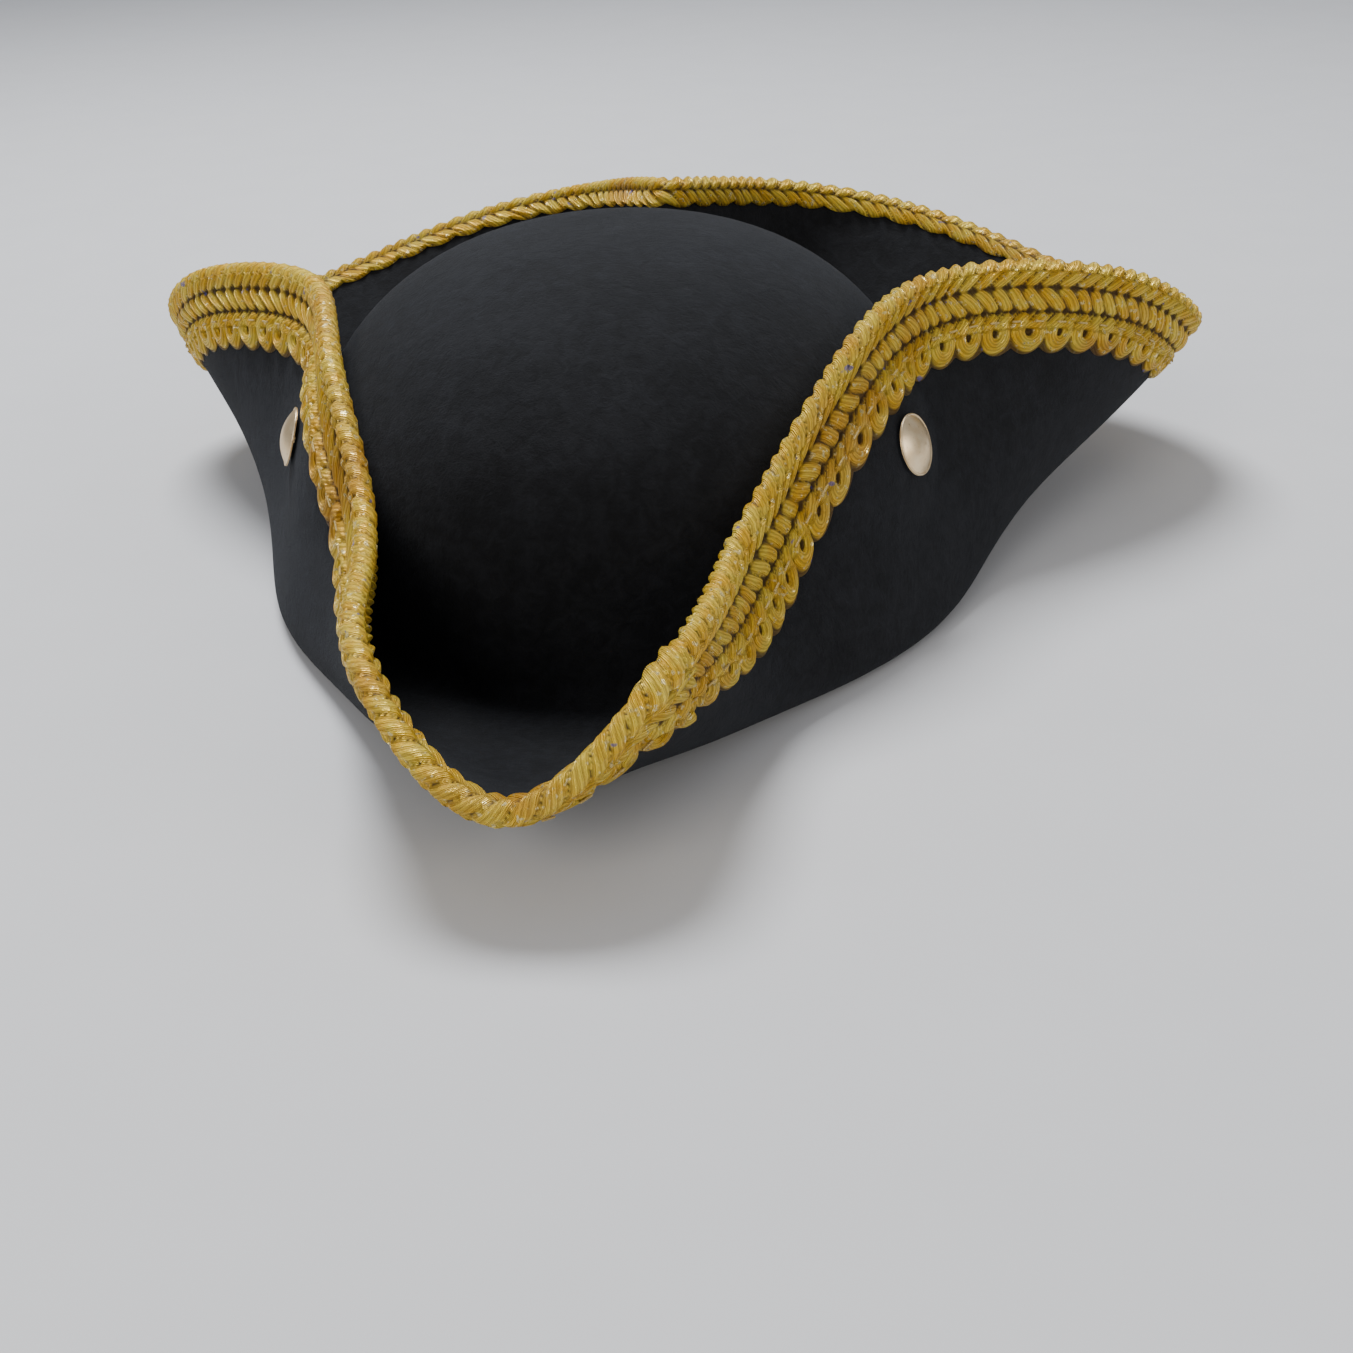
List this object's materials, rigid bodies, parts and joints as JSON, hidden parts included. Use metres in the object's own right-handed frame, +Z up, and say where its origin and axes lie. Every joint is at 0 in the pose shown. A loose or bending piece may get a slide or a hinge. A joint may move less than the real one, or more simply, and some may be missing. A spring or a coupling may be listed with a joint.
{
  "type": "pirate hat",
  "caption": "Black felt three-cornered pirate hat with a folded gold braid along its edge, a sweatband inside and two split pins that hold the sides of the brim up to the crown.",
  "frame": {"origin": "centre of the head opening, on the plane of its lip", "axes": "-Y towards the front tip, +X to the right of a person who faces the hat from the front, +Z up through the crown"},
  "size_m": [0.343, 0.3513, 0.099],
  "materials": {
    "felt": "blocked wool felt, matte and slightly hairy, with a faint grey bloom",
    "gold_braid": "braided metallic gold yarn in twisted strands and small loops, satin to bright",
    "gold_thread": "sewing thread, matte",
    "sweatband": "ribbed grosgrain ribbon, semi-matte",
    "black_thread": "sewing thread, matte",
    "label": "plain woven tape, matte, blank",
    "brass": "satin brass, softly tarnished"
  },
  "bodies": {
    "hat": {"crown": "felt", "brim_front": "felt", "brim_left": "felt", "brim_right": "felt", "gold_braid": "gold_braid", "braid_stitches": "gold_thread", "sweatband": "sweatband", "sweatband_stitches": "black_thread", "size_label": "label", "left_pin_cap": "brass", "left_pin_shank": "brass", "right_pin_cap": "brass", "right_pin_shank": "brass"},
    "left_pin_leg_upper": {"left_pin_leg_upper": "brass"},
    "left_pin_leg_lower": {"left_pin_leg_lower": "brass"},
    "right_pin_leg_upper": {"right_pin_leg_upper": "brass"},
    "right_pin_leg_lower": {"right_pin_leg_lower": "brass"}
  },
  "joints": [
    {"name": "left_leg_upper_bend", "type": "hinge", "parent": "hat", "child": "left_pin_leg_upper", "pos_m": [-0.07677, -0.0325, 0.04769], "axis": [-0.3614, 0.9324, 0], "range_deg": [0, 84]},
    {"name": "left_leg_lower_bend", "type": "hinge", "parent": "hat", "child": "left_pin_leg_lower", "pos_m": [-0.07723, -0.03268, 0.04627], "axis": [0.3614, -0.9324, 0], "range_deg": [0, 85]},
    {"name": "right_leg_upper_bend", "type": "hinge", "parent": "hat", "child": "right_pin_leg_upper", "pos_m": [0.07677, -0.0325, 0.04769], "axis": [-0.3614, -0.9324, 0], "range_deg": [0, 84]},
    {"name": "right_leg_lower_bend", "type": "hinge", "parent": "hat", "child": "right_pin_leg_lower", "pos_m": [0.07723, -0.03268, 0.04627], "axis": [0.3614, 0.9324, 0], "range_deg": [0, 85]}
  ]
}
